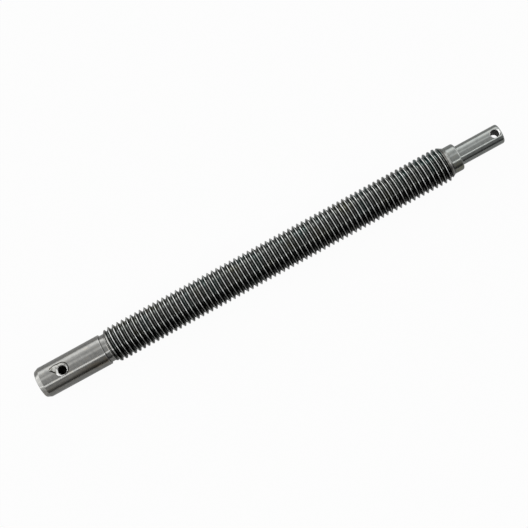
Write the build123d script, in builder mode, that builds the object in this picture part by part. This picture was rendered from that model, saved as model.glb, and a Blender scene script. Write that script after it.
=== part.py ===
from build123d import *
import math
import os

# Lead screw: one steel bar, turned on centres, threaded, and drilled across at both ends.
# It lies along +X from the shank's end face, at the origin, to the tip of the spindle.
# +Z points out of the mouth of the shank's cross hole. All sizes are in millimetres.

# Shank: the thick plain end, with a long lead-in chamfer and a softened rim
shank_diameter = 15.7
shank_length = 35.8
shank_chamfer_length = 2.4
shank_chamfer_depth = 1.05
shank_rim_radius = 0.7

# Thread: M18 x 2.5, right-hand. The bar stands plain at its crest diameter, and the pitch sets
# the root that the neck has to clear
thread_diameter = 18.0
thread_pitch = 2.5
thread_depth_per_pitch = 0.6134
thread_length = 188.9

# Chamfers of the thread: a steep foot out of the neck, up to a shallow lead that ends at the
# crests, and one plain chamfer down to the collar
thread_foot_angle = 45.0
thread_lead_depth = 0.6
thread_lead_angle = 20.0
thread_end_angle = 30.0

# Relief neck between shank and thread, turned just under the thread's root
neck_width = 2.1
neck_clearance = 0.35

# Collar and spindle: the stepped bearing end
collar_diameter = 14.0
collar_length = 5.2
collar_edge_radius = 1.1
spindle_diameter = 10.0
spindle_length = 23.4
spindle_tip_radius = 1.1

# Blind cross hole in the shank, countersunk
shank_hole_diameter = 4.5
shank_hole_from_end = 13.75
shank_hole_depth = 11.0
shank_countersink_diameter = 6.6

# Through hole near the spindle's tip, countersunk on both sides and turned a little about X
spindle_hole_diameter = 4.2
spindle_hole_from_tip = 3.4
spindle_hole_angle = 3.6
spindle_countersink_diameter = 5.5

# Skid mark beside the shank's hole, where the countersink ran off before it bit: a shallow
# teardrop round three circles, each placed by how far it lies behind the hole and to its side
skid_mouth_behind = -0.4
skid_mouth_side = 0.5
skid_mouth_radius = 3.4
skid_belly_behind = 2.6
skid_belly_side = 2.5
skid_belly_radius = 1.7
skid_tail_behind = 4.95
skid_tail_side = 2.85
skid_tail_radius = 0.85
skid_depth = 0.3

countersink_angle = 90.0
drill_point_angle = 118.0

# Radii and stations along X that follow from these
shank_radius = shank_diameter / 2
thread_radius = thread_diameter / 2
thread_root_radius = thread_radius - thread_depth_per_pitch * thread_pitch
neck_radius = thread_root_radius - neck_clearance
collar_radius = collar_diameter / 2
spindle_radius = spindle_diameter / 2

shank_end = shank_length
neck_end = shank_end + neck_width
thread_end = neck_end + thread_length
collar_end = thread_end + collar_length
tip = collar_end + spindle_length

lead_radius = thread_radius - thread_lead_depth
foot_end = neck_end + (lead_radius - neck_radius) / math.tan(math.radians(thread_foot_angle))
lead_end = foot_end + thread_lead_depth / math.tan(math.radians(thread_lead_angle))
end_chamfer = (thread_radius - collar_radius) / math.tan(math.radians(thread_end_angle))


def cross_hole(place, radius, depth, countersink_radius):
    """Drill for a hole along the plane's normal: a bore down to depth, its point, and the countersink."""
    point = radius / math.tan(math.radians(drill_point_angle / 2))
    flare = (countersink_radius - radius) / math.tan(math.radians(countersink_angle / 2))
    with BuildPart() as drill:
        with BuildSketch(Plane.XZ) as half_section:
            with BuildLine():
                Polyline(
                    (0, 0),
                    (countersink_radius, 0),
                    (radius, -flare),
                    (radius, -depth),
                    (0, -depth - point),
                    close=True,
                )
            make_face()
        revolve(axis=Axis.Z)
    return place * drill.part


# Bed of the skid mark: the outline in plan, kept to a thin skin of the shank
with BuildPart() as skid:
    with BuildSketch(Plane.XY.offset(shank_radius)) as skid_outline:
        with Locations((shank_hole_from_end - skid_mouth_behind, skid_mouth_side)):
            Circle(skid_mouth_radius)
        with Locations((shank_hole_from_end - skid_belly_behind, skid_belly_side)):
            Circle(skid_belly_radius)
        with Locations((shank_hole_from_end - skid_tail_behind, skid_tail_side)):
            Circle(skid_tail_radius)
        make_hull()
    extrude(amount=-shank_radius)
    with BuildSketch(Plane.YZ):
        Circle(shank_diameter)
        Circle(shank_radius - skid_depth, mode=Mode.SUBTRACT)
    extrude(amount=shank_length, mode=Mode.INTERSECT)

with BuildPart() as lead_screw:
    with BuildSketch(Plane.XZ) as turned_section:
        with BuildLine():
            Polyline(
                (0, 0),
                (0, shank_radius - shank_chamfer_depth),
                (shank_chamfer_length, shank_radius),
                (shank_end, shank_radius),
                (shank_end, neck_radius),
                (neck_end, neck_radius),
                (foot_end, lead_radius),
                (lead_end, thread_radius),
                (thread_end - end_chamfer, thread_radius),
                (thread_end, collar_radius),
                (collar_end, collar_radius),
                (collar_end, spindle_radius),
                (tip, spindle_radius),
                (tip, 0),
                close=True,
            )
        make_face()
    revolve(axis=Axis.X)

    # Softened rim of the shank, rounded outer edge of the collar, rounded tip
    rims = edges().filter_by(GeomType.CIRCLE)
    fillet(rims.group_by(Axis.X)[0], shank_rim_radius)
    collar_rim = edges().filter_by(GeomType.CIRCLE).filter_by_position(Axis.X, collar_end, collar_end)
    fillet(collar_rim.sort_by(SortBy.RADIUS)[-1], collar_edge_radius)
    fillet(edges().filter_by(GeomType.CIRCLE).group_by(Axis.X)[-1], spindle_tip_radius)

    # The shank's hole opens upward, at the top of the shank
    shank_hole = Plane((shank_hole_from_end, 0, shank_radius))
    drill = cross_hole(
        shank_hole, shank_hole_diameter / 2, shank_hole_depth, shank_countersink_diameter / 2
    )
    add(drill, mode=Mode.SUBTRACT)
    add(skid.part, mode=Mode.SUBTRACT)

    # The spindle's hole is drilled from both sides, so each mouth has its countersink
    for side in (0, 180):
        mouth = Plane((tip - spindle_hole_from_tip, 0, 0)).rotated((side - spindle_hole_angle, 0, 0))
        drill = cross_hole(
            mouth.offset(spindle_radius),
            spindle_hole_diameter / 2,
            spindle_radius,
            spindle_countersink_diameter / 2,
        )
        add(drill, mode=Mode.SUBTRACT)

os.makedirs("parts", exist_ok=True)
lead_screw.part.label = "lead_screw"
export_step(lead_screw.part, "parts/lead_screw.step")
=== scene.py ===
import logging
import math
from dataclasses import dataclass, field
from enum import Enum
from typing import Any, Sequence

import bmesh
import bpy
import numpy as np
from mathutils import Matrix, Vector


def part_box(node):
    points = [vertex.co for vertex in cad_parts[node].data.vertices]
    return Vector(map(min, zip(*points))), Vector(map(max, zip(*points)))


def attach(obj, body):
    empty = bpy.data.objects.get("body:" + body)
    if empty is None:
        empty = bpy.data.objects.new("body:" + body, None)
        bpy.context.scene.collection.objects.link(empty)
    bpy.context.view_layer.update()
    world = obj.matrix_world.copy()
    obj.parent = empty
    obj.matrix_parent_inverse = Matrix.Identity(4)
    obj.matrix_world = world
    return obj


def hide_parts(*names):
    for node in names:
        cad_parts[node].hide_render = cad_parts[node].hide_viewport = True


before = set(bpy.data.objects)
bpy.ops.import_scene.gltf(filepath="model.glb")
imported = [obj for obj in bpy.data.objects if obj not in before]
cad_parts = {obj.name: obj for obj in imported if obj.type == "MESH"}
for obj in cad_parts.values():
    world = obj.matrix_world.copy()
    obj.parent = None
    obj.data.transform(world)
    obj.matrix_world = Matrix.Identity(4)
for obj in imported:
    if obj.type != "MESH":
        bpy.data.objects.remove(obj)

# The looks of a turned lead screw: one steel bar with a plain shank, a V thread and a stepped bearing
# end. The bar lies along X, as its CAD solid does, with the shank's end face at the origin. Its mesh
# is made upright, along the mesh's own Z, so that the lathe's tool marks run round it, and is then
# laid down.

LOG = logging.getLogger("lead_screw")
MM = 0.001
CAD_NODE = "lead_screw"
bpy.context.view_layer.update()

# How far the brushed highlight's direction is turned, as a share of a full turn
BRUSHED_TURN = 0.25

Colour = tuple[float, float, float]
Corner = tuple[float, float]
Point = tuple[float, float, float]
# Where a step is 0, and where it is 1
Edge = tuple[float, float]
# Waves a metre, and octaves
Waves = tuple[float, float]


class Surface(Enum):
    """Which finish a face of the screw takes; the value is its place among the mesh's materials."""

    TURNED = 0
    CREST = 1
    FLANK = 2
    # Near-black: painted shade in the holes and painted shadow on the skid mark's dark walls
    PAINTED_SHADE = 3
    COUNTERSUNK = 4
    SKIDDED = 5


class Shade(Enum):
    """How a step between two values runs."""

    STRAIGHT = "LINEAR"
    SOFT = "SMOOTHSTEP"


# ---------------------------------------------------------------------------------------------
# Shader maths
# ---------------------------------------------------------------------------------------------


class Signal:
    """A socket that shader maths can be written with, as if it were a number."""

    def __init__(self, graph: "Graph", socket: bpy.types.NodeSocket) -> None:
        """Wraps a socket.

        Args:
            graph: The node tree's helper, which adds the Math nodes.
            socket: The output socket that carries the value.
        """
        self.graph = graph
        self.socket = socket

    def _math(self, operation: str, first: Any, second: Any = None) -> "Signal":
        """Adds one Math node.

        Args:
            operation: The Math node's operation.
            first: Its first value or signal.
            second: Its second value or signal, if it takes one.

        Returns:
            The node's result.
        """
        values = {0: first} if second is None else {0: first, 1: second}
        return self.graph.signal("ShaderNodeMath", {"operation": operation}, values)

    def __add__(self, other: Any) -> "Signal":
        """Sum of this signal and another."""
        return self._math("ADD", self, other)

    def __radd__(self, other: Any) -> "Signal":
        """Sum of a number and this signal."""
        return self._math("ADD", other, self)

    def __sub__(self, other: Any) -> "Signal":
        """This signal less another."""
        return self._math("SUBTRACT", self, other)

    def __rsub__(self, other: Any) -> "Signal":
        """A number less this signal."""
        return self._math("SUBTRACT", other, self)

    def __mul__(self, other: Any) -> "Signal":
        """Product of this signal and another."""
        return self._math("MULTIPLY", self, other)

    def __rmul__(self, other: Any) -> "Signal":
        """Product of a number and this signal."""
        return self._math("MULTIPLY", other, self)

    def sine(self) -> "Signal":
        """Sine of this signal, in radians."""
        return self._math("SINE", self)

    def root(self) -> "Signal":
        """Square root of this signal."""
        return self._math("SQRT", self)

    def angle_from(self, other: "Signal") -> "Signal":
        """Angle of the point (other, self), in radians."""
        return self._math("ARCTAN2", self, other)

    def step(self, start: float, end: float, shade: Shade = Shade.SOFT) -> "Signal":
        """Rises from 0 to 1 as this signal goes from start to end.

        Args:
            start: Where the step begins.
            end: Where it is complete; below start, the step falls instead.
            shade: Straight or soft.

        Returns:
            The step, kept within 0 and 1.
        """
        low, high, bottom, top = (start, end, 0.0, 1.0) if start < end else (end, start, 1.0, 0.0)
        settings = {"interpolation_type": shade.value}
        values = {"Value": self, "From Min": low, "From Max": high, "To Min": bottom, "To Max": top}
        return self.graph.signal("ShaderNodeMapRange", settings, values)


class Graph:
    """A node tree that is filled by one method."""

    def __init__(self, tree: bpy.types.NodeTree) -> None:
        """Clears the tree.

        Args:
            tree: The material's or the world's node tree.
        """
        self.tree = tree
        self.tree.nodes.clear()

    def node(self, kind: str, settings: dict[str, Any], values: dict[Any, Any]) -> bpy.types.Node:
        """Adds any node.

        Args:
            kind: The node's type.
            settings: Its own settings.
            values: Numbers, colours or links for its input sockets, by name or place.

        Returns:
            The node.
        """
        made = self.tree.nodes.new(kind)
        for name, value in settings.items():
            setattr(made, name, value)
        for key, value in values.items():
            if isinstance(value, Signal):
                self.tree.links.new(value.socket, made.inputs[key])
            else:
                made.inputs[key].default_value = value
        return made

    def signal(
        self, kind: str, settings: dict[str, Any], values: dict[Any, Any], output: Any = 0
    ) -> Signal:
        """Adds any node and wraps one of its outputs.

        Args:
            kind: The node's type.
            settings: As for node.
            values: As for node.
            output: The output's name or place.

        Returns:
            The output as a signal.
        """
        return Signal(self, self.node(kind, settings, values).outputs[output])

    def mix(self, share: Any, first: Any, second: Any, blend: str = "MIX") -> Signal:
        """Mixes two colours.

        Args:
            share: How much of the second is taken.
            first: A colour or a signal.
            second: A colour or a signal.
            blend: The Mix node's blend type.

        Returns:
            The mixed colour.
        """
        values = {0: share, 6: self._rgba(first), 7: self._rgba(second)}
        return self.signal("ShaderNodeMix", {"data_type": "RGBA", "blend_type": blend}, values, 2)

    def _rgba(self, colour: Any) -> Any:
        """A colour with an alpha of 1, or the signal as it is."""
        return colour if isinstance(colour, Signal) else (*colour, 1.0)

    def axes(self, place: Signal) -> list[Signal]:
        """X, Y and Z of a vector."""
        parts = self.node("ShaderNodeSeparateXYZ", {}, {0: place})
        return [Signal(self, part) for part in parts.outputs]

    def grey(self, level: Signal) -> Signal:
        """A grey of a level."""
        return self.signal("ShaderNodeCombineColor", {}, {0: level, 1: level, 2: level})

    def noise(self, place: Signal, waves: Waves) -> Signal:
        """Noise about 0.5 over a surface."""
        values = {"Vector": place, "Scale": waves[0], "Detail": waves[1]}
        return self.signal("ShaderNodeTexNoise", {}, values)


@dataclass(frozen=True)
class Span:
    """A stretch of a distance or an angle, with a soft edge at each side."""

    start: float
    full: float
    fading: float
    end: float

    @classmethod
    def near(cls, station: float, *offsets: float) -> "Span":
        """A stretch whose four places are given in millimetres from a station."""
        return cls(*(station + offset * MM for offset in offsets))

    def share(self, place: Signal) -> Signal:
        """1 on the stretch and 0 beyond its edges."""
        return place.step(self.start, self.full) * place.step(self.end, self.fading)


# ---------------------------------------------------------------------------------------------
# Finishes
# ---------------------------------------------------------------------------------------------


@dataclass(frozen=True)
class Coat:
    """What varies over a finish: its colour, its roughness and the height of its marks."""

    colour: Signal
    roughness: Signal
    height: Signal


@dataclass(frozen=True, kw_only=True)
class Finish:
    """A metal finish of the bar.

    It reads the bar's own coordinates, with Z along the bar, X to its side and Y out of its holes'
    mouths.
    """

    name: str
    roughness: float
    swing: float = 0.08
    metallic: float = 1.0
    brushed: float = 0.0
    relief: float = 0.10
    relief_depth: float = 0.02 * MM

    def coat(self, graph: Graph, place: Signal) -> Coat:
        """What varies over the finish, which each kind of finish makes for itself."""
        raise NotImplementedError

    def rough(self, grain: Signal) -> Signal:
        """The roughness, which swings with the grain."""
        return self.roughness + self.swing * (grain - 0.5)

    def material(self) -> bpy.types.Material:
        """Makes the material.

        Returns:
            The finish as a material.
        """
        made = bpy.data.materials.new(self.name)
        made.use_nodes = True
        graph = Graph(made.node_tree)
        coat = self.coat(graph, graph.signal("ShaderNodeTexCoord", {}, {}, "Object"))
        relief = {"Strength": self.relief, "Distance": self.relief_depth, "Height": coat.height}
        values = {
            "Base Color": coat.colour,
            "Metallic": self.metallic,
            "Roughness": coat.roughness,
            "Anisotropic": self.brushed,
            "Anisotropic Rotation": BRUSHED_TURN,
            "Normal": graph.signal("ShaderNodeBump", {}, relief, "Normal"),
        }
        shader = graph.signal("ShaderNodeBsdfPrincipled", {}, values)
        graph.node("ShaderNodeOutputMaterial", {}, {"Surface": shader})
        LOG.info("finish %s", self.name)
        return made


@dataclass(frozen=True, kw_only=True)
class TurnedSteel(Finish):
    """Bright turned steel, handled, with tool marks round it, a warm stain and a painted sheen on the
    shank, painted highlights on its shoulders and painted shade in its corners.
    """

    shank_end: float
    neck_end: float
    thread_end: float
    collar_end: float
    name: str = "turned_steel"
    roughness: float = 0.22
    brushed: float = 0.85
    bare: Colour = (0.262, 0.262, 0.252)
    stain: Colour = (0.215, 0.175, 0.115)
    bearing: Colour = (0.250, 0.263, 0.254)
    olive: Colour = (0.205, 0.200, 0.145)
    # Colour of the painted shade in the corners
    corner_shade: Colour = (0.045, 0.043, 0.036)
    # Colour of the painted highlights on the shoulders' edges
    shoulder_highlight: Colour = (0.46, 0.46, 0.45)
    blotches: Waves = (190.0, 3.0)
    blotch_edge: Edge = (0.34, 0.58)
    mottling: Waves = (620.0, 1.5)
    speck_edge: Edge = (0.56, 0.70)
    smear_edge: Edge = (0.40, 0.62)
    grain: Waves = (1100.0, 2.0)
    stain_side: Span = Span.near(0.0, -7.2, -6.3, -5.2, -3.4)
    stain_along: Edge = (12.0 * MM, 33.0 * MM)
    # Where the painted sheen lies, across the shank and along it
    sheen_side: Span = Span.near(0.0, -6.8, -5.9, -4.6, -3.4)
    sheen_along: Edge = (30.0 * MM, 14.0 * MM)
    olive_side: Edge = (-2.2 * MM, -4.2 * MM)
    stain_strength: float = 0.6
    speck_strength: float = 0.2
    olive_strength: float = 0.6
    sheen_gain: float = 0.40
    stain_roughness: float = 0.05
    feed: float = 0.16 * MM
    feed_wander: float = 6.0
    chatter: Waves = (900.0, 4.0)

    def coat(self, graph: Graph, place: Signal) -> Coat:
        """Turned metal, with its stains, its painted sheen, its painted highlights on the shoulders and
        its painted shade in the corners.

        Args:
            graph: The material's graph.
            place: The bar's own coordinates.

        Returns:
            The coat.
        """
        side, up, along = graph.axes(place)
        blotch = graph.noise(place, self.blotches)
        mottle = graph.noise(place, self.mottling)
        fine = graph.noise(place, self.grain)
        marks = self._tool_marks(graph, along + (side * side + up * up).root())
        on_shank = along.step(self.shank_end + 0.2 * MM, self.shank_end)
        on_bearing = along.step(self.thread_end, self.thread_end + 0.3 * MM)
        on_collar = on_bearing * along.step(self.collar_end + 0.1 * MM, self.collar_end - 0.1 * MM)

        stained = on_shank * self.stain_side.share(side)
        stained = stained * (0.35 + 0.65 * along.step(*self.stain_along))
        stained = stained * (0.3 + 0.7 * blotch.step(*self.blotch_edge))
        touched = on_collar * side.step(*self.olive_side) * (0.4 + mottle.step(*self.smear_edge))
        # Painted sheen: a mask over the shank's negative-X side, strongest towards its end face
        painted_sheen = on_shank * self.sheen_side.share(side) * along.step(*self.sheen_along)

        steel = graph.mix(on_bearing, self.bare, self.bearing)
        steel = graph.mix(stained * self.stain_strength, steel, self.stain)
        specks = mottle.step(*self.speck_edge) * self.speck_strength
        steel = graph.mix(specks, steel, self.stain)
        steel = graph.mix(touched * self.olive_strength, steel, self.olive)
        # Painted highlights along the shoulders' edges
        steel = graph.mix(self._painted_shoulder_highlights(along), steel, self.shoulder_highlight)
        # Painted shade in the corners and creases, broken up by the fine grain
        steel = graph.mix(self._painted_corner_shade(along) * (0.55 + 0.7 * fine), steel, self.corner_shade)
        tone = 0.58 + 0.20 * blotch + 0.55 * mottle + 0.10 * marks
        # Painted sheen: the tone is raised under that mask
        tone = tone * (1.0 + self.sheen_gain * painted_sheen)
        steel = graph.mix(1.0, steel, graph.grey(tone), "MULTIPLY")
        roughness = self.rough(fine) + self.stain_roughness * stained
        return Coat(steel, roughness, marks * 0.6 + fine * 0.4)

    def _painted_shoulder_highlights(self, along: Signal) -> Signal:
        """Painted highlights along the edges of the shank's and the collar's shoulders."""
        shank = Span.near(self.shank_end, -0.45, -0.25, -0.05, 0.02).share(along)
        collar = Span.near(self.collar_end, -0.50, -0.25, 0.02, 0.12).share(along)
        return shank * 0.6 + collar

    def _painted_corner_shade(self, along: Signal) -> Signal:
        """Painted shade at the shank's shoulder, at the thread's foot, on the thread's end chamfer and
        in the corner at the thread's end.
        """
        shoulder = Span.near(self.shank_end, -0.03, 0.03, 0.15, 0.55).share(along)
        foot = Span.near(self.neck_end, 0.80, 1.05, 1.45, 1.70).share(along)
        groove = Span.near(self.thread_end, -2.6, -1.9, -1.5, -1.0).share(along)
        corner = Span.near(self.thread_end, -0.2, 0.0, 0.05, 0.25).share(along)
        return shoulder * 0.75 + foot * 0.8 + groove * 0.85 + corner * 0.5

    def _tool_marks(self, graph: Graph, gone: Signal) -> Signal:
        """The feed's fine ridges, uneven along the bar and over its end faces.

        Args:
            graph: The material's graph.
            gone: Distance that the tool has gone.

        Returns:
            A value from about 0 to 1.
        """
        values = {"W": gone, "Scale": self.chatter[0], "Detail": self.chatter[1]}
        uneven = graph.signal("ShaderNodeTexNoise", {"noise_dimensions": "1D"}, values)
        ridge = (gone * (2.0 * math.pi / self.feed) + uneven * self.feed_wander).sine()
        return uneven * 0.75 + ridge * 0.125 + 0.125


@dataclass(frozen=True, kw_only=True)
class CrestLand(Finish):
    """The flat top of the thread, worn bright by the nut."""

    name: str = "thread_crest"
    roughness: float = 0.40
    swing: float = 0.10
    brushed: float = 0.40
    relief: float = 0.08
    worn: Colour = (0.70, 0.71, 0.70)
    dull: Colour = (0.50, 0.51, 0.49)
    wear: Waves = (420.0, 3.0)
    wear_edge: Edge = (0.35, 0.65)

    def coat(self, graph: Graph, place: Signal) -> Coat:
        """Bright metal, worn unevenly."""
        wear = graph.noise(place, self.wear)
        steel = graph.mix(wear.step(*self.wear_edge), self.dull, self.worn)
        return Coat(steel, self.rough(wear), wear)


@dataclass(frozen=True, kw_only=True)
class CutFlank(Finish):
    """The thread's flanks, dark with old oil, over a root that the tool left clean, with painted shade
    on their negative-X side and painted light on their positive-X side.
    """

    root_radius: float
    name: str = "thread_flank"
    roughness: float = 0.24
    brushed: float = 0.6
    oily: Colour = (0.070, 0.073, 0.070)
    teal: Colour = (0.052, 0.078, 0.076)
    olive: Colour = (0.075, 0.072, 0.050)
    clean: Colour = (0.19, 0.20, 0.19)
    film: Waves = (95.0, 2.0)
    teal_edge: Edge = (0.52, 0.66)
    olive_edge: Edge = (0.46, 0.34)
    grain: Waves = (900.0, 3.0)
    clean_edge: Edge = (0.40, 0.62)
    clean_depths: Edge = (0.16 * MM, 0.03 * MM)
    # Where the painted shade (negative X) and the painted light (positive X) lie across the bar
    painted_shade_side: Edge = (-1.0 * MM, -5.0 * MM)
    painted_light_side: Edge = (0.5 * MM, 5.0 * MM)

    def coat(self, graph: Graph, place: Signal) -> Coat:
        """Dark metal that clears towards the bottom of the groove, with painted shade on one side and
        painted light on the other.

        Args:
            graph: The material's graph.
            place: The bar's own coordinates.

        Returns:
            The coat.
        """
        side, up, _ = graph.axes(place)
        film = graph.noise(place, self.film)
        grain = graph.noise(place, self.grain)
        radius = (side * side + up * up).root()
        bottom = radius.step(*(self.root_radius + depth for depth in self.clean_depths))
        steel = graph.mix(film.step(*self.teal_edge), self.oily, self.teal)
        steel = graph.mix(film.step(*self.olive_edge), steel, self.olive)
        speckled = bottom * (0.35 + 0.9 * grain.step(*self.clean_edge))
        steel = graph.mix(speckled, steel, self.clean)
        # Painted shade on the flanks' negative-X side and painted light on their positive-X side
        tone = 0.94 - 0.60 * side.step(*self.painted_shade_side) + 0.50 * side.step(*self.painted_light_side)
        steel = graph.mix(1.0, steel, graph.grey(tone), "MULTIPLY")
        return Coat(steel, self.rough(grain), grain)


@dataclass(frozen=True, kw_only=True)
class BoreAndWallShade(Finish):
    """The near-black finish of a drilled hole's wall, torn by the drill's edge: painted shade inside the
    holes, and painted shadow on the skid mark's dark walls.
    """

    name: str = "bore_and_wall_shade"
    roughness: float = 0.55
    swing: float = 0.2
    metallic: float = 0.6
    relief: float = 0.25
    relief_depth: float = 0.03 * MM
    # Near-black: the painted shade inside the holes
    wall: Colour = (0.022, 0.022, 0.018)
    darkest: float = 0.6
    palest: float = 1.5
    tear: Waves = (1400.0, 3.0)

    def coat(self, graph: Graph, place: Signal) -> Coat:
        """Dark metal with paler and darker specks."""
        torn = graph.noise(place, self.tear)
        dark, pale = (tuple(tone * part for part in self.wall) for tone in (self.darkest, self.palest))
        return Coat(graph.mix(torn, dark, pale), self.rough(torn), torn)


@dataclass(frozen=True, kw_only=True)
class ScrapedSteel(Finish):
    """Steel that a countersink has cut: bright, pale and a little torn."""

    fresh: Colour
    torn: Colour
    roughness: float = 0.42
    swing: float = 0.10
    relief: float = 0.15
    relief_depth: float = 0.03 * MM
    patches: Waves = (760.0, 2.0)
    patch_edge: Edge = (0.47, 0.58)
    grain: Waves = (2200.0, 2.0)

    def coat(self, graph: Graph, place: Signal) -> Coat:
        """Bright metal with grey patches."""
        patch = graph.noise(place, self.patches)
        grain = graph.noise(place, self.grain)
        steel = graph.mix(patch.step(*self.patch_edge), self.fresh, self.torn)
        return Coat(steel, self.rough(grain), grain)


# ---------------------------------------------------------------------------------------------
# Mesh work
# ---------------------------------------------------------------------------------------------


def part_way(start: Corner, end: Corner, share: float) -> Corner:
    """The point that lies a share of the way from one point to another."""
    return (start[0] + share * (end[0] - start[0]), start[1] + share * (end[1] - start[1]))


def read(elements: Any, name: str, width: int, kind: Any = np.float32) -> np.ndarray:
    """A value of each of a mesh's elements, one row for each."""
    values = np.empty(len(elements) * width, dtype=kind)
    elements.foreach_get(name, values)
    return values.reshape(-1, width)


def outward(spots: np.ndarray) -> np.ndarray:
    """The direction out from the upright bar's axis at each spot."""
    return spots[:, :2] / np.maximum(np.linalg.norm(spots[:, :2], axis=1), 1e-9)[:, None]


def solid(
    name: str,
    points: Sequence[Any],
    faces: list[list[int]],
    kinds: list[int],
    finishes: Sequence[bpy.types.Material],
) -> bpy.types.Object:
    """Makes a mesh object.

    Args:
        name: The object's name.
        points: Its vertices, in metres.
        faces: Its faces, as vertex numbers.
        kinds: Each face's place among the finishes.
        finishes: The materials.

    Returns:
        The object, in the scene.
    """
    mesh = bpy.data.meshes.new(name)
    mesh.from_pydata([tuple(p) for p in points], [], faces)
    for finish in finishes:
        mesh.materials.append(finish)
    mesh.polygons.foreach_set("material_index", np.asarray(kinds, dtype=np.int32))
    shell = bmesh.new()
    shell.from_mesh(mesh)
    bmesh.ops.recalc_face_normals(shell, faces=shell.faces)
    shell.to_mesh(mesh)
    shell.free()
    mesh.update()
    made = bpy.data.objects.new(name, mesh)
    bpy.context.scene.collection.objects.link(made)
    return made


@dataclass(frozen=True)
class CrossHole:
    """A hole drilled across the bar from one side, countersunk at its mouth."""

    station: float
    bar_radius: float
    radius: float
    countersink_radius: float
    depth: float
    mouth_angle: float
    drill_point_angle: float = 118.0
    segments: int = 72

    def cutter(self, finishes: Sequence[bpy.types.Material]) -> bpy.types.Object:
        """The drill and countersink as a closed mesh.

        Args:
            finishes: The screw's materials.

        Returns:
            The cutter, standing across the upright bar.
        """
        proud = 1.0 * MM
        point = self.radius / math.tan(math.radians(self.drill_point_angle / 2.0))
        mouth = self.bar_radius
        flare = self.countersink_radius - self.radius
        section = [
            (self.countersink_radius + proud, mouth + proud),
            (self.radius, mouth - flare),
            (self.radius, mouth - self.depth),
        ]
        turn = math.radians(self.mouth_angle)
        axis = Vector((math.cos(turn), math.sin(turn), 0.0))
        along = Vector((0.0, 0.0, 1.0))
        across = along.cross(axis)
        centre = along * self.station
        points = [centre + axis * section[0][1]]
        for reach, height in section:
            for step in range(self.segments):
                angle = 2.0 * math.pi * step / self.segments
                spoke = along * math.cos(angle) + across * math.sin(angle)
                points.append(centre + axis * height + spoke * reach)
        points.append(centre + axis * (mouth - self.depth - point))
        faces: list[list[int]] = []
        kinds: list[int] = []
        last = len(points) - 1
        for step in range(self.segments):
            after = (step + 1) % self.segments
            faces.append([0, 1 + step, 1 + after])
            kinds.append(Surface.COUNTERSUNK.value)
            # The bore's wall and point take the near-black finish, painted shade inside the hole
            for ring, kind in ((0, Surface.COUNTERSUNK), (1, Surface.PAINTED_SHADE)):
                low = 1 + ring * self.segments
                high = low + self.segments
                faces.append([low + step, high + step, high + after, low + after])
                kinds.append(kind.value)
            faces.append([high + step, last, high + after])
            kinds.append(Surface.PAINTED_SHADE.value)
        return solid("cutter", points, faces, kinds, finishes)


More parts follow.
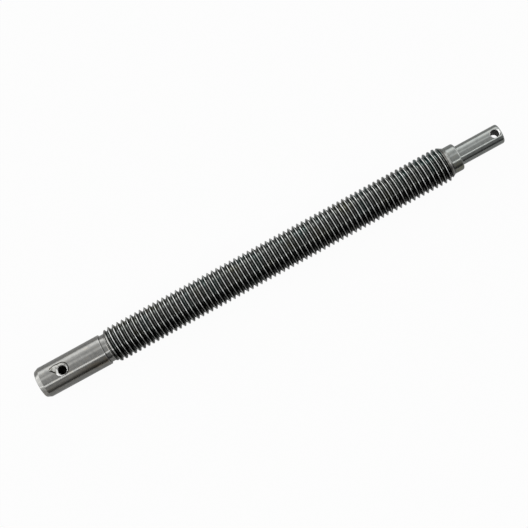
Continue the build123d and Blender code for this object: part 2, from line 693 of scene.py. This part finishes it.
@dataclass(frozen=True)
class SkidMark:
    """Where the countersink ran off before it bit: a shallow teardrop beside the shank's hole.

    Each circle of its outline is given as how far behind the hole it lies, how far to its side, and its
    radius. The tool's edge dug in towards the shank's end and left a ragged line there, which carries a
    painted shadow, as do the wall ahead of the hole and the upper wall.
    """

    hole: CrossHole
    mouth: Point = (-0.4 * MM, 0.5 * MM, 3.4 * MM)
    belly: Point = (2.6 * MM, 2.5 * MM, 1.7 * MM)
    tail: Point = (4.95 * MM, 2.85 * MM, 0.85 * MM)
    depth: float = 0.3 * MM
    wall_lean: float = 0.2 * MM
    line_behind: float = 4.75 * MM
    line_reach: float = 1.15 * MM
    line_depth: float = 0.15 * MM
    heart_shares: tuple[float, float] = (0.3, 0.4)
    rings: tuple[float, ...] = (0.3, 0.6, 0.8, 0.93, 1.0)
    directions: int = 120
    longest_edge: float = 0.25 * MM

    @property
    def line_top(self) -> float:
        """How far to the side the dug line reaches: a little short of the tail's middle."""
        return self.tail[1] - 0.2 * self.tail[2]

    @property
    def wall_foot(self) -> float:
        """How far to the side the dark upper wall begins: half the tail's radius above its middle."""
        return self.tail[1] + 0.5 * self.tail[2]

    def outline(self, grow: float) -> list[Corner]:
        """The mark's edge in plan, its straight runs divided too.

        Args:
            grow: How much larger each circle is taken.

        Returns:
            Points along and across the bar, in order round the edge. Their number is the same for
            every grow, because the circles' centres alone set where the runs lie.
        """
        circles = []
        for behind, side, radius in (self.mouth, self.belly, self.tail):
            circles.append((self.hole.station - behind, side, radius))
        corners = []
        for step in range(self.directions):
            turn = 2.0 * math.pi * step / self.directions
            way = (math.cos(turn), math.sin(turn))
            far = max(circles, key=lambda c: c[0] * way[0] + c[1] * way[1] + c[2])
            reach = far[2] + grow
            corners.append((far[:2], (far[0] + reach * way[0], far[1] + reach * way[1])))
        points = []
        for step, (centre, start) in enumerate(corners):
            next_centre, end = corners[(step + 1) % self.directions]
            pieces = 1 + int(math.dist(centre, next_centre) / self.longest_edge)
            points += [part_way(start, end, piece / pieces) for piece in range(pieces)]
        return points

    def dug(self, spot: Corner) -> float:
        """How much the tool's edge dug in, from 0 to 1.

        Args:
            spot: A point of the edge, along and across.

        Returns:
            1 in the middle of the dug line, which carries the painted shadow, and 0 away from it.
        """
        if spot[1] >= self.line_top:
            return 0.0
        behind = self.hole.station - spot[0]
        return max(0.0, 1.0 - ((behind - self.line_behind) / self.line_reach) ** 2)

    def finish(self, ring: int, wall: int, spot: Corner) -> Surface:
        """The finish of a face of the mark.

        Args:
            ring: The face's place from the heart outwards.
            wall: The wall's place in that order.
            spot: The edge's point beside it, along and across.

        Returns:
            Painted shadow, with the near-black finish, on the dug line, on the wall ahead of the hole
            and on the upper wall; turned on the rim ahead of the hole, and scraped elsewhere.
        """
        ahead = spot[0] > self.hole.station
        above = spot[1] > self.wall_foot
        on_line = ring >= wall - 2 and self.dug(spot) > 0.0
        on_wall = (ring >= wall - 1 and ahead) or (ring == wall and above)
        # Painted shadow on the dug line and on the dark walls
        if on_line or on_wall:
            return Surface.PAINTED_SHADE
        return Surface.TURNED if ring == wall - 2 and ahead else Surface.SKIDDED

    def cutter(self, finishes: Sequence[bpy.types.Material]) -> bpy.types.Object:
        """The mark as a closed mesh, its bed curved with the bar.

        Args:
            finishes: The screw's materials.

        Returns:
            The cutter.
        """
        bed_radius = self.hole.bar_radius - self.depth
        top_radius = self.hole.bar_radius + self.depth
        along_share, side_share = self.heart_shares
        heart = (self.hole.station - along_share * self.tail[0], side_share * self.tail[1])
        bed = self.outline(-self.wall_lean)
        top = self.outline(self.wall_lean)
        points: list[Point] = []
        for share in self.rings:
            for spot in bed:
                sink = self.line_depth * self.dug(spot) if share == 1.0 else 0.0
                points.append(self._on_bar(heart, spot, share, bed_radius - sink))
        for share in self.rings[::-1]:
            points += [self._on_bar(heart, spot, share, top_radius) for spot in top]
        points.append(self._on_bar(heart, heart, 1.0, bed_radius))
        points.append(self._on_bar(heart, heart, 1.0, top_radius))
        faces: list[list[int]] = []
        kinds: list[int] = []
        count = len(bed)
        wall = len(self.rings)
        first = 2 * wall * count
        for step in range(count):
            after = (step + 1) % count
            faces.append([first, after, step])
            kinds.append(Surface.SKIDDED.value)
            for ring in range(1, 2 * wall):
                low = (ring - 1) * count
                high = low + count
                faces.append([low + step, low + after, high + after])
                faces.append([low + step, high + after, high + step])
                kinds += [self.finish(min(ring, wall), wall, bed[step]).value] * 2
            faces.append([first + 1, high + step, high + after])
            kinds.append(Surface.SKIDDED.value)
        return solid("cutter", points, faces, kinds, finishes)

    def _on_bar(self, heart: Corner, spot: Corner, share: float, radius: float) -> Point:
        """A point in plan, drawn towards the heart and laid on a cylinder round the bar.

        Args:
            heart: The middle of the mark, along and across.
            spot: The point, along and across.
            share: How far from the heart it is taken, of the whole way.
            radius: The cylinder's radius.

        Returns:
            The point on the upright bar, whose mouth side is +Y.
        """
        along, across = part_way(heart, spot, share)
        return (across, math.sqrt(max(radius * radius - across * across, 0.0)), along)


@dataclass(frozen=True)
class Thread:
    """The single-start right-hand V thread, cut with a rounded root between two chamfers."""

    start: float
    end: float
    radius: float
    neck_radius: float
    end_radius: float
    depth: float
    pitch: float = 2.5 * MM
    crest_flat: float = 2.5 * MM / 8.0
    root_curve: float = 0.1443 * 2.5 * MM
    first_crest: float = 1.95 * MM
    foot_angle: float = 45.0
    lead_depth: float = 0.6 * MM
    lead_angle: float = 20.0
    end_angle: float = 30.0
    lead_softness: float = 0.22 * MM
    land_wear: float = 0.20 * MM
    bare_foot: float = 1.15 * MM
    run_in: float = 0.8 * MM
    run_in_end: float = 2.2 * MM
    half_angle: float = 30.0
    lines_a_pitch: int = 10
    land_lines: tuple[int, int] = (4, 5)
    edge_rounds: int = 12

    @property
    def root_radius(self) -> float:
        """Radius at the bottom of the groove."""
        return self.radius - self.depth

    @property
    def lean(self) -> float:
        """How far a flank runs along the bar for each step inwards."""
        return math.tan(math.radians(self.half_angle))

    @property
    def tangent(self) -> float:
        """How far from the groove's middle the root's curve meets the flanks."""
        return self.root_curve * math.cos(math.radians(self.half_angle))

    def envelope(self, along: np.ndarray) -> np.ndarray:
        """Radius of the blank that the thread was cut in.

        It climbs out of the neck at the foot's angle, then along the shallow lead, and falls to the
        collar in one chamfer.

        Args:
            along: Distances along the bar.

        Returns:
            Its radius there.
        """
        foot_slope, lead_slope, end_slope = (
            math.tan(math.radians(angle)) for angle in (self.foot_angle, self.lead_angle, self.end_angle)
        )
        lead_radius = self.radius - self.lead_depth
        foot_end = self.start + (lead_radius - self.neck_radius) / foot_slope
        foot = self.neck_radius + (along - self.start) * foot_slope
        lead = lead_radius + (along - foot_end) * lead_slope
        fall = self.end_radius + (self.end - along) * end_slope
        # The chamfers' upper corners are worn down softly, and the crests beyond them stay full
        below = (self.radius - np.minimum(np.minimum(foot, lead), fall)) / self.lead_softness
        worn = np.logaddexp(0.0, below)
        full = math.log(2.0) * np.exp(-np.abs(below)) * (below < 0.0)
        return self.radius - self.lead_softness * (worn - full)

    def groove(self, along: np.ndarray, turn: np.ndarray) -> np.ndarray:
        """Radius of an endless thread.

        Args:
            along: Distances along the bar.
            turn: Shares of a turn round it.

        Returns:
            The radius there.
        """
        phase = (along - self.first_crest) / self.pitch - turn
        off = np.abs(phase - np.round(phase)) * self.pitch
        from_root = self.pitch / 2.0 - off
        flank = self.radius - (off - self.crest_flat / 2.0) / self.lean
        reach = np.clip(from_root, 0.0, self.tangent)
        curve = self.root_radius + self.root_curve - np.sqrt(self.root_curve**2 - reach**2)
        return np.where(from_root < self.tangent, curve, np.minimum(self.radius, flank))

    def surface(self, along: np.ndarray, turn: np.ndarray) -> np.ndarray:
        """Radius of the finished thread, within the blank, its first groove let down to the neck."""
        far = np.clip((along - self.start - self.run_in) / (self.run_in_end - self.run_in), 0.0, 1.0)
        deeper = (self.root_radius - self.neck_radius) * (1.0 - far * far * (3.0 - 2.0 * far))
        return np.minimum(self.envelope(along), self.groove(along, turn) - deeper)

    def rows(self, turn: np.ndarray) -> np.ndarray:
        """Where the mesh's lines cross each column: the crest's edges, the flanks and the root.

        Args:
            turn: Share of a turn of each column.

        Returns:
            Distances along the bar, one row for each line and one column for each turn.
        """
        rows = []
        first = math.floor((self.start - self.first_crest) / self.pitch) - 2
        last = math.ceil((self.end - self.first_crest) / self.pitch) + 1
        for count in range(first, last + 1):
            crest = self.first_crest + self.pitch * (count + turn)
            behind, ahead = self._edge(crest, -1.0), self._edge(crest, 1.0)
            low, high = crest - self.pitch / 2.0, crest + self.pitch / 2.0
            rows += [low, low + self.tangent / 2.0, low + self.tangent]
            rows += [(low + self.tangent + behind) / 2.0, behind, (behind + ahead) / 2.0]
            rows += [ahead, (high - self.tangent + ahead) / 2.0, high - self.tangent]
            rows += [high - self.tangent / 2.0]
        return np.clip(np.array(rows), self.start, self.end)

    def _edge(self, crest: np.ndarray, way: float) -> np.ndarray:
        """Where a flank meets the blank's surface.

        Args:
            crest: The crest's middle in each column.
            way: -1 for the flank towards the shank, 1 for the other.

        Returns:
            Distances along the bar.
        """
        widest = self.pitch / 2.0 - self.tangent
        edge = crest + way * self.crest_flat / 2.0
        for _ in range(self.edge_rounds):
            blank = self.envelope(np.clip(edge, self.start, self.end))
            cut = np.clip(self.radius - blank, 0.0, None)
            edge = crest + way * np.minimum(self.crest_flat / 2.0 + cut * self.lean, widest)
        return edge


@dataclass
class ScrewMesh:
    """Collects the screw's rings and lines of vertices, and closes them into one mesh."""

    columns: int = 96
    points: list[Point] = field(default_factory=list)
    faces: list[list[int]] = field(default_factory=list)
    kinds: list[int] = field(default_factory=list)

    def face(self, loop: list[int], kind: Surface = Surface.TURNED) -> None:
        """Adds one face with its finish."""
        self.faces.append(loop)
        self.kinds.append(kind.value)

    def turns(self) -> np.ndarray:
        """Share of a turn of each column."""
        return np.arange(self.columns) / self.columns

    def add(self, along: Any, radius: Any) -> np.ndarray:
        """Adds one ring.

        Args:
            along: Its distance along the bar, one number or one for each column.
            radius: Its radius, likewise.

        Returns:
            The vertices' numbers.
        """
        first = len(self.points)
        spread = np.ones(self.columns)
        angle = 2.0 * math.pi * self.turns()
        x = radius * np.cos(angle)
        y = radius * np.sin(angle)
        self.points.extend(zip(x.tolist(), y.tolist(), (along * spread).tolist()))
        return np.arange(first, first + self.columns)

    def join(self, low: np.ndarray, high: np.ndarray) -> None:
        """Faces between two rings, the first nearer to the shank's end."""
        for step in range(self.columns):
            after = (step + 1) % self.columns
            self.face([int(low[step]), int(low[after]), int(high[after]), int(high[step])])

    def cap(self, ring: np.ndarray, along: float, outward: bool) -> None:
        """Closes an end with a fan.

        Args:
            ring: The end face's rim.
            along: Its distance along the bar.
            outward: Whether it faces away from the shank's end.
        """
        middle = len(self.points)
        self.points.append((0.0, 0.0, along))
        for step in range(self.columns):
            after = (step + 1) % self.columns
            near, far = (step, after) if outward else (after, step)
            self.face([int(ring[near]), int(ring[far]), middle])

    def sleeve(self, corners: Sequence[Corner], before: np.ndarray | None) -> np.ndarray:
        """Adds a turned outline, ring by ring.

        Args:
            corners: Distance along the bar and radius of each ring.
            before: The ring that it carries on from, if any.

        Returns:
            Its last ring.
        """
        for along, radius in corners:
            ring = self.add(along, radius)
            if before is not None:
                self.join(before, ring)
            before = ring
        return before

    def thread(self, cut: Thread, before: np.ndarray) -> np.ndarray:
        """Adds the thread between its two end rings.

        Args:
            cut: The thread.
            before: The ring that it starts from.

        Returns:
            The ring at its far end.
        """
        turn = self.turns()
        along = cut.rows(turn)
        start = self.add(cut.start, cut.surface(np.full(self.columns, cut.start), turn))
        end = self.add(cut.end, cut.surface(np.full(self.columns, cut.end), turn))
        numbers = np.empty(along.shape, dtype=int)
        for row in range(along.shape[0]):
            ring = self.add(along[row], cut.surface(along[row], turn))
            ring = np.where(along[row] >= cut.end, end, ring)
            numbers[row] = np.where(along[row] <= cut.start, start, ring)
        # A column's next turn is one pitch further on, so the last column meets the first there
        seam = np.vstack([numbers[cut.lines_a_pitch :, :1], np.full((cut.lines_a_pitch, 1), end[0])])
        numbers = np.hstack([numbers, seam])
        self.join(before, start)
        for row in range(along.shape[0] - 1):
            low, high = numbers[row].tolist(), numbers[row + 1].tolist()
            on_land = row % cut.lines_a_pitch in cut.land_lines
            middle = (along[row] + along[row + 1]) / 2.0
            cut_down = cut.envelope(middle) < cut.radius - cut.land_wear
            in_foot = middle < cut.start + cut.bare_foot
            for step in range(self.columns):
                kind = Surface.TURNED if in_foot[step] else Surface.FLANK
                if on_land:
                    kind = Surface.TURNED if cut_down[step] else Surface.CREST
                loop = [low[step], low[step + 1], high[step + 1], high[step]]
                kept = [v for place, v in enumerate(loop) if v != loop[place - 1]]
                if len(set(kept)) > 2:
                    self.face(kept, kind)
        return end


def rounded(corner: Corner, radius: float, start: float, end: float, steps: int) -> list[Corner]:
    """Points of an arc in the turned outline.

    Args:
        corner: The arc's centre, along the bar and out from its middle.
        radius: The arc's radius.
        start: Its first angle in degrees, from the bar's direction towards the outside.
        end: Its last angle.
        steps: How many pieces it has.

    Returns:
        The points in order.
    """
    points = []
    for step in range(steps + 1):
        angle = math.radians(start + (end - start) * step / steps)
        points.append((corner[0] + radius * math.cos(angle), corner[1] + radius * math.sin(angle)))
    return points


# ---------------------------------------------------------------------------------------------
# The screw
# ---------------------------------------------------------------------------------------------


@dataclass
class LeadScrew:
    """The whole bar: shank, relief neck, thread, collar and spindle."""

    tip: float
    thread_radius: float
    shank_radius: float = 7.85 * MM
    shank_end: float = 35.8 * MM
    shank_chamfer_length: float = 2.4 * MM
    shank_chamfer_depth: float = 1.05 * MM
    shank_rim: float = 0.7 * MM
    neck_width: float = 2.1 * MM
    neck_clearance: float = 0.35 * MM
    thread_depth: float = 0.6134 * 2.5 * MM
    collar_radius: float = 7.0 * MM
    collar_length: float = 5.2 * MM
    collar_rim: float = 1.1 * MM
    spindle_radius: float = 5.0 * MM
    spindle_length: float = 23.4 * MM
    spindle_rim: float = 1.1 * MM
    edge: float = 0.12 * MM
    hair: float = 0.006 * MM
    shank_rings: tuple[float, ...] = (7.0 * MM, 14.0 * MM, 21.0 * MM)
    spindle_rings: tuple[float, ...] = (8.0 * MM, 15.0 * MM)
    shank_face_rings: tuple[float, ...] = (0.35, 0.8)
    tip_face_rings: tuple[float, ...] = (0.6, 0.3)
    shank_hole_from_end: float = 13.75 * MM
    shank_hole_radius: float = 2.25 * MM
    shank_countersink_radius: float = 3.3 * MM
    shank_hole_depth: float = 11.0 * MM
    shank_hole_angle: float = 90.0
    spindle_hole_from_tip: float = 3.4 * MM
    spindle_hole_radius: float = 2.1 * MM
    spindle_countersink_radius: float = 2.75 * MM
    spindle_hole_angle: float = 86.4
    spindle_hole_overrun: float = 1.2
    sharp_angle: float = 40.0
    round_from: float = 0.998
    flat_within: float = 0.02
    rim_steps: int = 7
    collar_rim_steps: int = 9
    edge_steps: int = 3

    @property
    def neck_radius(self) -> float:
        """Radius of the relief neck, a little under the thread's root."""
        return self.thread_radius - self.thread_depth - self.neck_clearance

    @property
    def collar_end(self) -> float:
        """Distance along the bar to the collar's shoulder."""
        return self.tip - self.spindle_length

    @property
    def thread_end(self) -> float:
        """Distance along the bar to the end of the thread."""
        return self.collar_end - self.collar_length

    @property
    def neck_end(self) -> float:
        """Distance along the bar to the start of the thread."""
        return self.shank_end + self.neck_width

    def thread(self) -> Thread:
        """The thread between the neck and the collar."""
        return Thread(
            start=self.neck_end,
            end=self.thread_end,
            radius=self.thread_radius,
            neck_radius=self.neck_radius,
            end_radius=self.collar_radius,
            depth=self.thread_depth,
        )

    def shank_hole(self) -> CrossHole:
        """The blind hole near the shank's end."""
        return CrossHole(
            station=self.shank_hole_from_end,
            bar_radius=self.shank_radius,
            radius=self.shank_hole_radius,
            countersink_radius=self.shank_countersink_radius,
            depth=self.shank_hole_depth,
            mouth_angle=self.shank_hole_angle,
        )

    def spindle_holes(self) -> list[CrossHole]:
        """The through hole near the tip, drilled and countersunk from both sides past the middle."""
        holes = []
        for turn in (0.0, 180.0):
            hole = CrossHole(
                station=self.tip - self.spindle_hole_from_tip,
                bar_radius=self.spindle_radius,
                radius=self.spindle_hole_radius,
                countersink_radius=self.spindle_countersink_radius,
                depth=self.spindle_radius * self.spindle_hole_overrun,
                mouth_angle=self.spindle_hole_angle + turn,
            )
            holes.append(hole)
        return holes

    def shank_outline(self) -> list[Corner]:
        """Turned outline of the shank and the relief neck, from the end face on."""
        slope = math.atan2(self.shank_chamfer_depth, self.shank_chamfer_length)
        rise = math.tan(slope)
        rim, edge, full, neck = self.shank_rim, self.edge, self.shank_radius, self.neck_radius
        bend, end = self.shank_chamfer_length, self.shank_end
        foot = full - self.shank_chamfer_depth
        back = rim * math.tan((math.pi / 2.0 - slope) / 2.0)
        points = [(0.0, share * foot) for share in self.shank_face_rings]
        points += rounded((rim, foot - back), rim, 180.0, 90.0 + math.degrees(slope), self.rim_steps)
        # The chamfer's bend, broken by a hair
        points += [
            (bend - 3.0 * edge, full - 3.0 * edge * rise),
            (bend - edge, full - edge * rise - self.hair),
            (bend, full - 2.0 * self.hair),
            (bend + edge, full),
            (bend + 3.0 * edge, full),
        ]
        points += [(along, full) for along in self.shank_rings]
        points.append((end - 4.0 * edge, full))
        points += rounded((end - edge, full - edge), edge, 90.0, 0.0, self.edge_steps)
        points += [
            (end, neck + 2.0 * edge),
            (end + 0.4 * edge, neck + 0.4 * edge),
            (end + 2.0 * edge, neck),
            (self.neck_end - 2.0 * edge, neck),
        ]
        return points

    def bearing_outline(self) -> list[Corner]:
        """Turned outline of the collar and the spindle, up to the tip's rim."""
        edge, rim, cut = self.edge, self.collar_rim, self.spindle_rim
        collar, spindle, end = self.collar_radius, self.spindle_radius, self.collar_end
        points = [
            (self.thread_end + 0.6 * edge, collar),
            (self.thread_end + 2.0 * edge, collar),
            (end - rim - 3.0 * edge, collar),
        ]
        points += rounded((end - rim, collar - rim), rim, 90.0, 0.0, self.collar_rim_steps)
        points += [
            (end, spindle + 3.0 * edge),
            (end + 0.3 * edge, spindle + 0.6 * edge),
            (end + 2.0 * edge, spindle),
        ]
        points += [(end + further, spindle) for further in self.spindle_rings]
        points.append((self.tip - cut - 2.0 * edge, spindle))
        points += rounded((self.tip - cut, spindle - cut), cut, 90.0, 0.0, self.rim_steps)
        points += [(self.tip, share * spindle) for share in self.tip_face_rings]
        return points

    def blank(self, finishes: Sequence[bpy.types.Material]) -> bpy.types.Object:
        """The turned and threaded bar, before it is drilled.

        Args:
            finishes: The screw's materials.

        Returns:
            The bar, upright.
        """
        mesh = ScrewMesh()
        outline = self.shank_outline()
        first = mesh.add(*outline[0])
        mesh.cap(first, 0.0, outward=False)
        neck = mesh.sleeve(outline[1:], first)
        threaded = mesh.thread(self.thread(), neck)
        last = mesh.sleeve(self.bearing_outline(), threaded)
        mesh.cap(last, self.tip, outward=True)
        used = sorted({v for face in mesh.faces for v in face})
        place = {v: i for i, v in enumerate(used)}
        points = [mesh.points[v] for v in used]
        faces = [[place[v] for v in face] for face in mesh.faces]
        return solid("turned_lead_screw", points, faces, mesh.kinds, finishes)

    def build(self, finishes: Sequence[bpy.types.Material]) -> bpy.types.Object:
        """Makes the screw and lays it along X.

        Args:
            finishes: Its materials, in the order of Surface.

        Returns:
            The finished piece.
        """
        screw = self.blank(finishes)
        hole = self.shank_hole()
        cutters = [SkidMark(hole).cutter(finishes), hole.cutter(finishes)]
        cutters += [bore.cutter(finishes) for bore in self.spindle_holes()]
        for cutter in cutters:
            self._drill(screw, cutter)
        self._settle(screw.data)
        screw.matrix_world = Matrix(((0, 0, 1, 0), (1, 0, 0, 0), (0, 1, 0, 0), (0, 0, 0, 1)))
        return screw

    def _drill(self, screw: bpy.types.Object, cutter: bpy.types.Object) -> None:
        """Takes a cutter out of the screw for good.

        Args:
            screw: The screw.
            cutter: A closed mesh, which is used up.
        """
        step = screw.modifiers.new("drill", "BOOLEAN")
        step.operation = "DIFFERENCE"
        step.solver = "EXACT"
        step.material_mode = "INDEX"
        step.object = cutter
        bpy.context.view_layer.update()
        view = bpy.context.evaluated_depsgraph_get()
        cut = bpy.data.meshes.new_from_object(screw.evaluated_get(view))
        screw.modifiers.remove(step)
        screw.data = cut
        bpy.data.objects.remove(cutter)

    def _settle(self, mesh: bpy.types.Mesh) -> None:
        """Smooths the shading, with crisp edges, and true normals on every face that is round the bar.

        Args:
            mesh: The screw's mesh.
        """
        mesh.polygons.foreach_set("use_smooth", np.ones(len(mesh.polygons), dtype=bool))
        mesh.set_sharp_from_angle(angle=math.radians(self.sharp_angle))
        normals = read(mesh.corner_normals, "vector", 3)
        which = read(mesh.loops, "vertex_index", 1, np.int32)[:, 0]
        corners = read(mesh.vertices, "co", 3)[which]
        facing = read(mesh.polygons, "normal", 3)
        middle = read(mesh.polygons, "center", 3)
        total = read(mesh.polygons, "loop_total", 1, np.int32)[:, 0]
        faces_out = (facing[:, :2] * outward(middle)).sum(1) > self.round_from
        round_face = faces_out & (np.abs(facing[:, 2]) < self.flat_within)
        at = np.repeat(round_face, total)
        normals[at, :2] = outward(corners)[at]
        normals[at, 2] = 0.0
        mesh.normals_split_custom_set(normals.tolist())


# ---------------------------------------------------------------------------------------------
# The studio
# ---------------------------------------------------------------------------------------------


@dataclass(frozen=True)
class Panel:
    """A long soft light beside the screw, over an arc in degrees from the +Y horizon."""

    name: str
    arc: Span
    level: float


ROOM_LIGHT = (
    Panel("room", Span(-90.0, -45.0, 156.0, 182.0), 0.28),
    Panel("ceiling", Span(-90.0, -45.0, 102.0, 135.0), 0.35),
    Panel("window", Span(-11.0, 14.5, 17.0, 41.0), 0.935),
    Panel("window's halo", Span(-11.0, 14.5, 25.0, 70.0), 0.565),
    Panel("lamp", Span(53.0, 71.0, 71.0, 86.0), 0.60),
    Panel("strip light", Span(121.0, 123.4, 131.4, 134.0), 1.93),
)


@dataclass(frozen=True)
class Studio:
    """A pale floor, soft light in long bands beside the screw, and the camera above it."""

    floor_height: float
    floor_size: float = 40.0
    floor_colour: Colour = (0.42, 0.42, 0.415)
    floor_white: float = 0.96
    floor_in_metal: float = 0.12
    darkest: float = 0.05
    ground_light: float = 0.75
    horizon: Edge = (0.0, -0.02)
    end_glow: float = 0.30
    end_glow_ahead: Edge = (0.32, 0.74)
    end_flash: float = 1.1
    end_flash_ahead: Edge = (0.74, 0.94)
    window_glow: float = 0.95
    window_ahead: Edge = (-0.50, -0.72)
    window_up: Edge = (-0.25, 0.15)
    window_side: Edge = (-0.1, -0.6)
    window_shade: float = 0.35
    card_colour: Colour = (0.06, 0.06, 0.06)
    card_side: float = -65.0 * MM
    card_rise: float = 9.0 * MM
    card_start: float = -25.0 * MM
    card_end: float = 600.0 * MM
    camera_along: float = 123.7 * MM
    camera_low: float = 0.70 * MM
    camera_distance: float = 599.5 * MM
    camera_lens: float = 83.8
    camera_elevation: float = 80.2
    camera_roll: float = 28.70

    def build(self) -> None:
        """Makes the floor, the light and the camera."""
        self._floor()
        self._card()
        self._room()
        self._camera()

    def _sheet(
        self, name: str, finish: str, corners: list[Point]
    ) -> tuple[bpy.types.Object, Graph]:
        """Makes a flat sheet with a material to fill.

        Args:
            name: The sheet's name.
            finish: Its material's name.
            corners: Its corners in order, in metres.

        Returns:
            The sheet, and its material's graph.
        """
        mesh = bpy.data.meshes.new(name)
        mesh.from_pydata(corners, [], [(0, 1, 2, 3)])
        sheet = bpy.data.objects.new(name, mesh)
        bpy.context.scene.collection.objects.link(sheet)
        made = bpy.data.materials.new(finish)
        made.use_nodes = True
        mesh.materials.append(made)
        return sheet, Graph(made.node_tree)

    def _floor(self) -> None:
        """The floor: pale where it is seen, and see-through from underneath."""
        half = self.floor_size / 2.0
        level = self.floor_height
        square = ((-half, -half), (half, -half), (half, half), (-half, half))
        floor, graph = self._sheet("floor", "pale_floor", [(*spot, level) for spot in square])
        rays = graph.node("ShaderNodeLightPath", {}, {})
        seen = Signal(graph, rays.outputs["Is Camera Ray"])
        glossy = Signal(graph, rays.outputs["Is Glossy Ray"])
        through = Signal(graph, rays.outputs["Is Transmission Ray"])
        share = seen * self.floor_white + (glossy + through) * self.floor_in_metal
        lit = graph.signal("ShaderNodeBsdfDiffuse", {}, {"Color": (*self.floor_colour, 1.0)})
        white = graph.signal("ShaderNodeEmission", {}, {"Color": (1.0, 1.0, 1.0, 1.0), "Strength": 1.0})
        pale = graph.signal("ShaderNodeMixShader", {}, {0: share, 1: lit, 2: white})
        under = graph.signal("ShaderNodeNewGeometry", {}, {}, "Backfacing")
        clear = graph.signal("ShaderNodeBsdfTransparent", {}, {})
        both = graph.signal("ShaderNodeMixShader", {}, {0: under, 1: pale, 2: clear})
        graph.node("ShaderNodeOutputMaterial", {}, {"Surface": both})
        LOG.info("floor at %.4f m", level)

    def _card(self) -> None:
        """A low dark card beside the screw, which only its reflections show."""
        start, end, side = self.card_start, self.card_end, self.card_side
        low, high = self.floor_height, self.card_rise
        corners = [(start, side, low), (end, side, low), (end, side, high), (start, side, high)]
        card, graph = self._sheet("dark_card", "dark_card", corners)
        dark = graph.signal("ShaderNodeBsdfDiffuse", {}, {"Color": (*self.card_colour, 1.0)})
        graph.node("ShaderNodeOutputMaterial", {}, {"Surface": dark})
        for ray in ("camera", "diffuse", "shadow", "transmission", "volume_scatter"):
            setattr(card, f"visible_{ray}", False)
        LOG.info("dark card at %.3f m", side)

    def _room(self) -> None:
        """The room's light: the panels along the screw, and the glow past its two ends."""
        world = bpy.data.worlds.new("studio")
        world.use_nodes = True
        bpy.context.scene.world = world
        graph = Graph(world.node_tree)
        ahead, side, up = graph.axes(graph.signal("ShaderNodeTexCoord", {}, {}, "Generated"))
        angle = up.angle_from(side) * (180.0 / math.pi)
        level = self.end_glow * ahead.step(*self.end_glow_ahead) + self.darkest
        level = level + self.end_flash * (ahead * ahead).step(*self.end_flash_ahead)
        window = ahead.step(*self.window_ahead) * up.step(*self.window_up)
        window = window * (1.0 - self.window_shade * side.step(*self.window_side))
        level = level + self.window_glow * window
        for panel in ROOM_LIGHT:
            level = level + panel.level * panel.arc.share(angle)
            LOG.info("light from the %s", panel.name)
        below = up.step(*self.horizon, Shade.STRAIGHT)
        level = level * (1.0 - below) + self.ground_light * below
        seen = graph.signal("ShaderNodeLightPath", {}, {}, "Is Camera Ray")
        level = level * (1.0 - seen) + seen
        sky = graph.signal("ShaderNodeBackground", {}, {"Color": graph.grey(level), "Strength": 1.0})
        graph.node("ShaderNodeOutputWorld", {}, {"Surface": sky})

    def _camera(self) -> None:
        """The camera, square to the screw and turned so that the screw climbs across the view."""
        rise = math.radians(self.camera_elevation)
        roll = math.radians(self.camera_roll)
        back = Vector((0.0, -math.cos(rise), math.sin(rise)))
        along = Vector((1.0, 0.0, 0.0))
        over = back.cross(along)
        right = along * math.cos(roll) - over * math.sin(roll)
        above = along * math.sin(roll) + over * math.cos(roll)
        target = along * self.camera_along - over * self.camera_low
        camera = bpy.data.objects.new("camera", bpy.data.cameras.new("camera"))
        camera.data.lens = self.camera_lens
        camera.data.sensor_width = 36.0
        camera.data.clip_start = 0.01
        camera.data.clip_end = 100.0
        turned = Matrix((right, above, back)).transposed().to_4x4()
        camera.matrix_world = Matrix.Translation(target + back * self.camera_distance) @ turned
        bpy.context.scene.collection.objects.link(camera)
        bpy.context.scene.camera = camera


def main() -> None:
    """Builds the screw and the studio."""
    logging.basicConfig(level=logging.INFO, format="%(name)s: %(message)s")
    low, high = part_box(CAD_NODE)
    screw = LeadScrew(tip=high.x - low.x, thread_radius=(high.y - low.y) / 2.0)
    finishes = [
        TurnedSteel(
            shank_end=screw.shank_end,
            neck_end=screw.neck_end,
            thread_end=screw.thread_end,
            collar_end=screw.collar_end,
        ),
        CrestLand(),
        CutFlank(root_radius=screw.thread().root_radius),
        BoreAndWallShade(),
        ScrapedSteel(name="countersunk_steel", fresh=(0.64, 0.64, 0.63), torn=(0.48, 0.48, 0.47)),
        ScrapedSteel(name="skidded_steel", fresh=(0.42, 0.42, 0.40), torn=(0.20, 0.20, 0.18)),
    ]
    piece = screw.build([finish.material() for finish in finishes])
    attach(piece, "root")
    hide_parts(CAD_NODE)
    LOG.info("%s: %d faces", piece.name, len(piece.data.polygons))
    Studio(floor_height=low.z).build()
    view = bpy.context.scene.view_settings
    view.view_transform = "Standard"


if __name__ == "__main__":
    main()
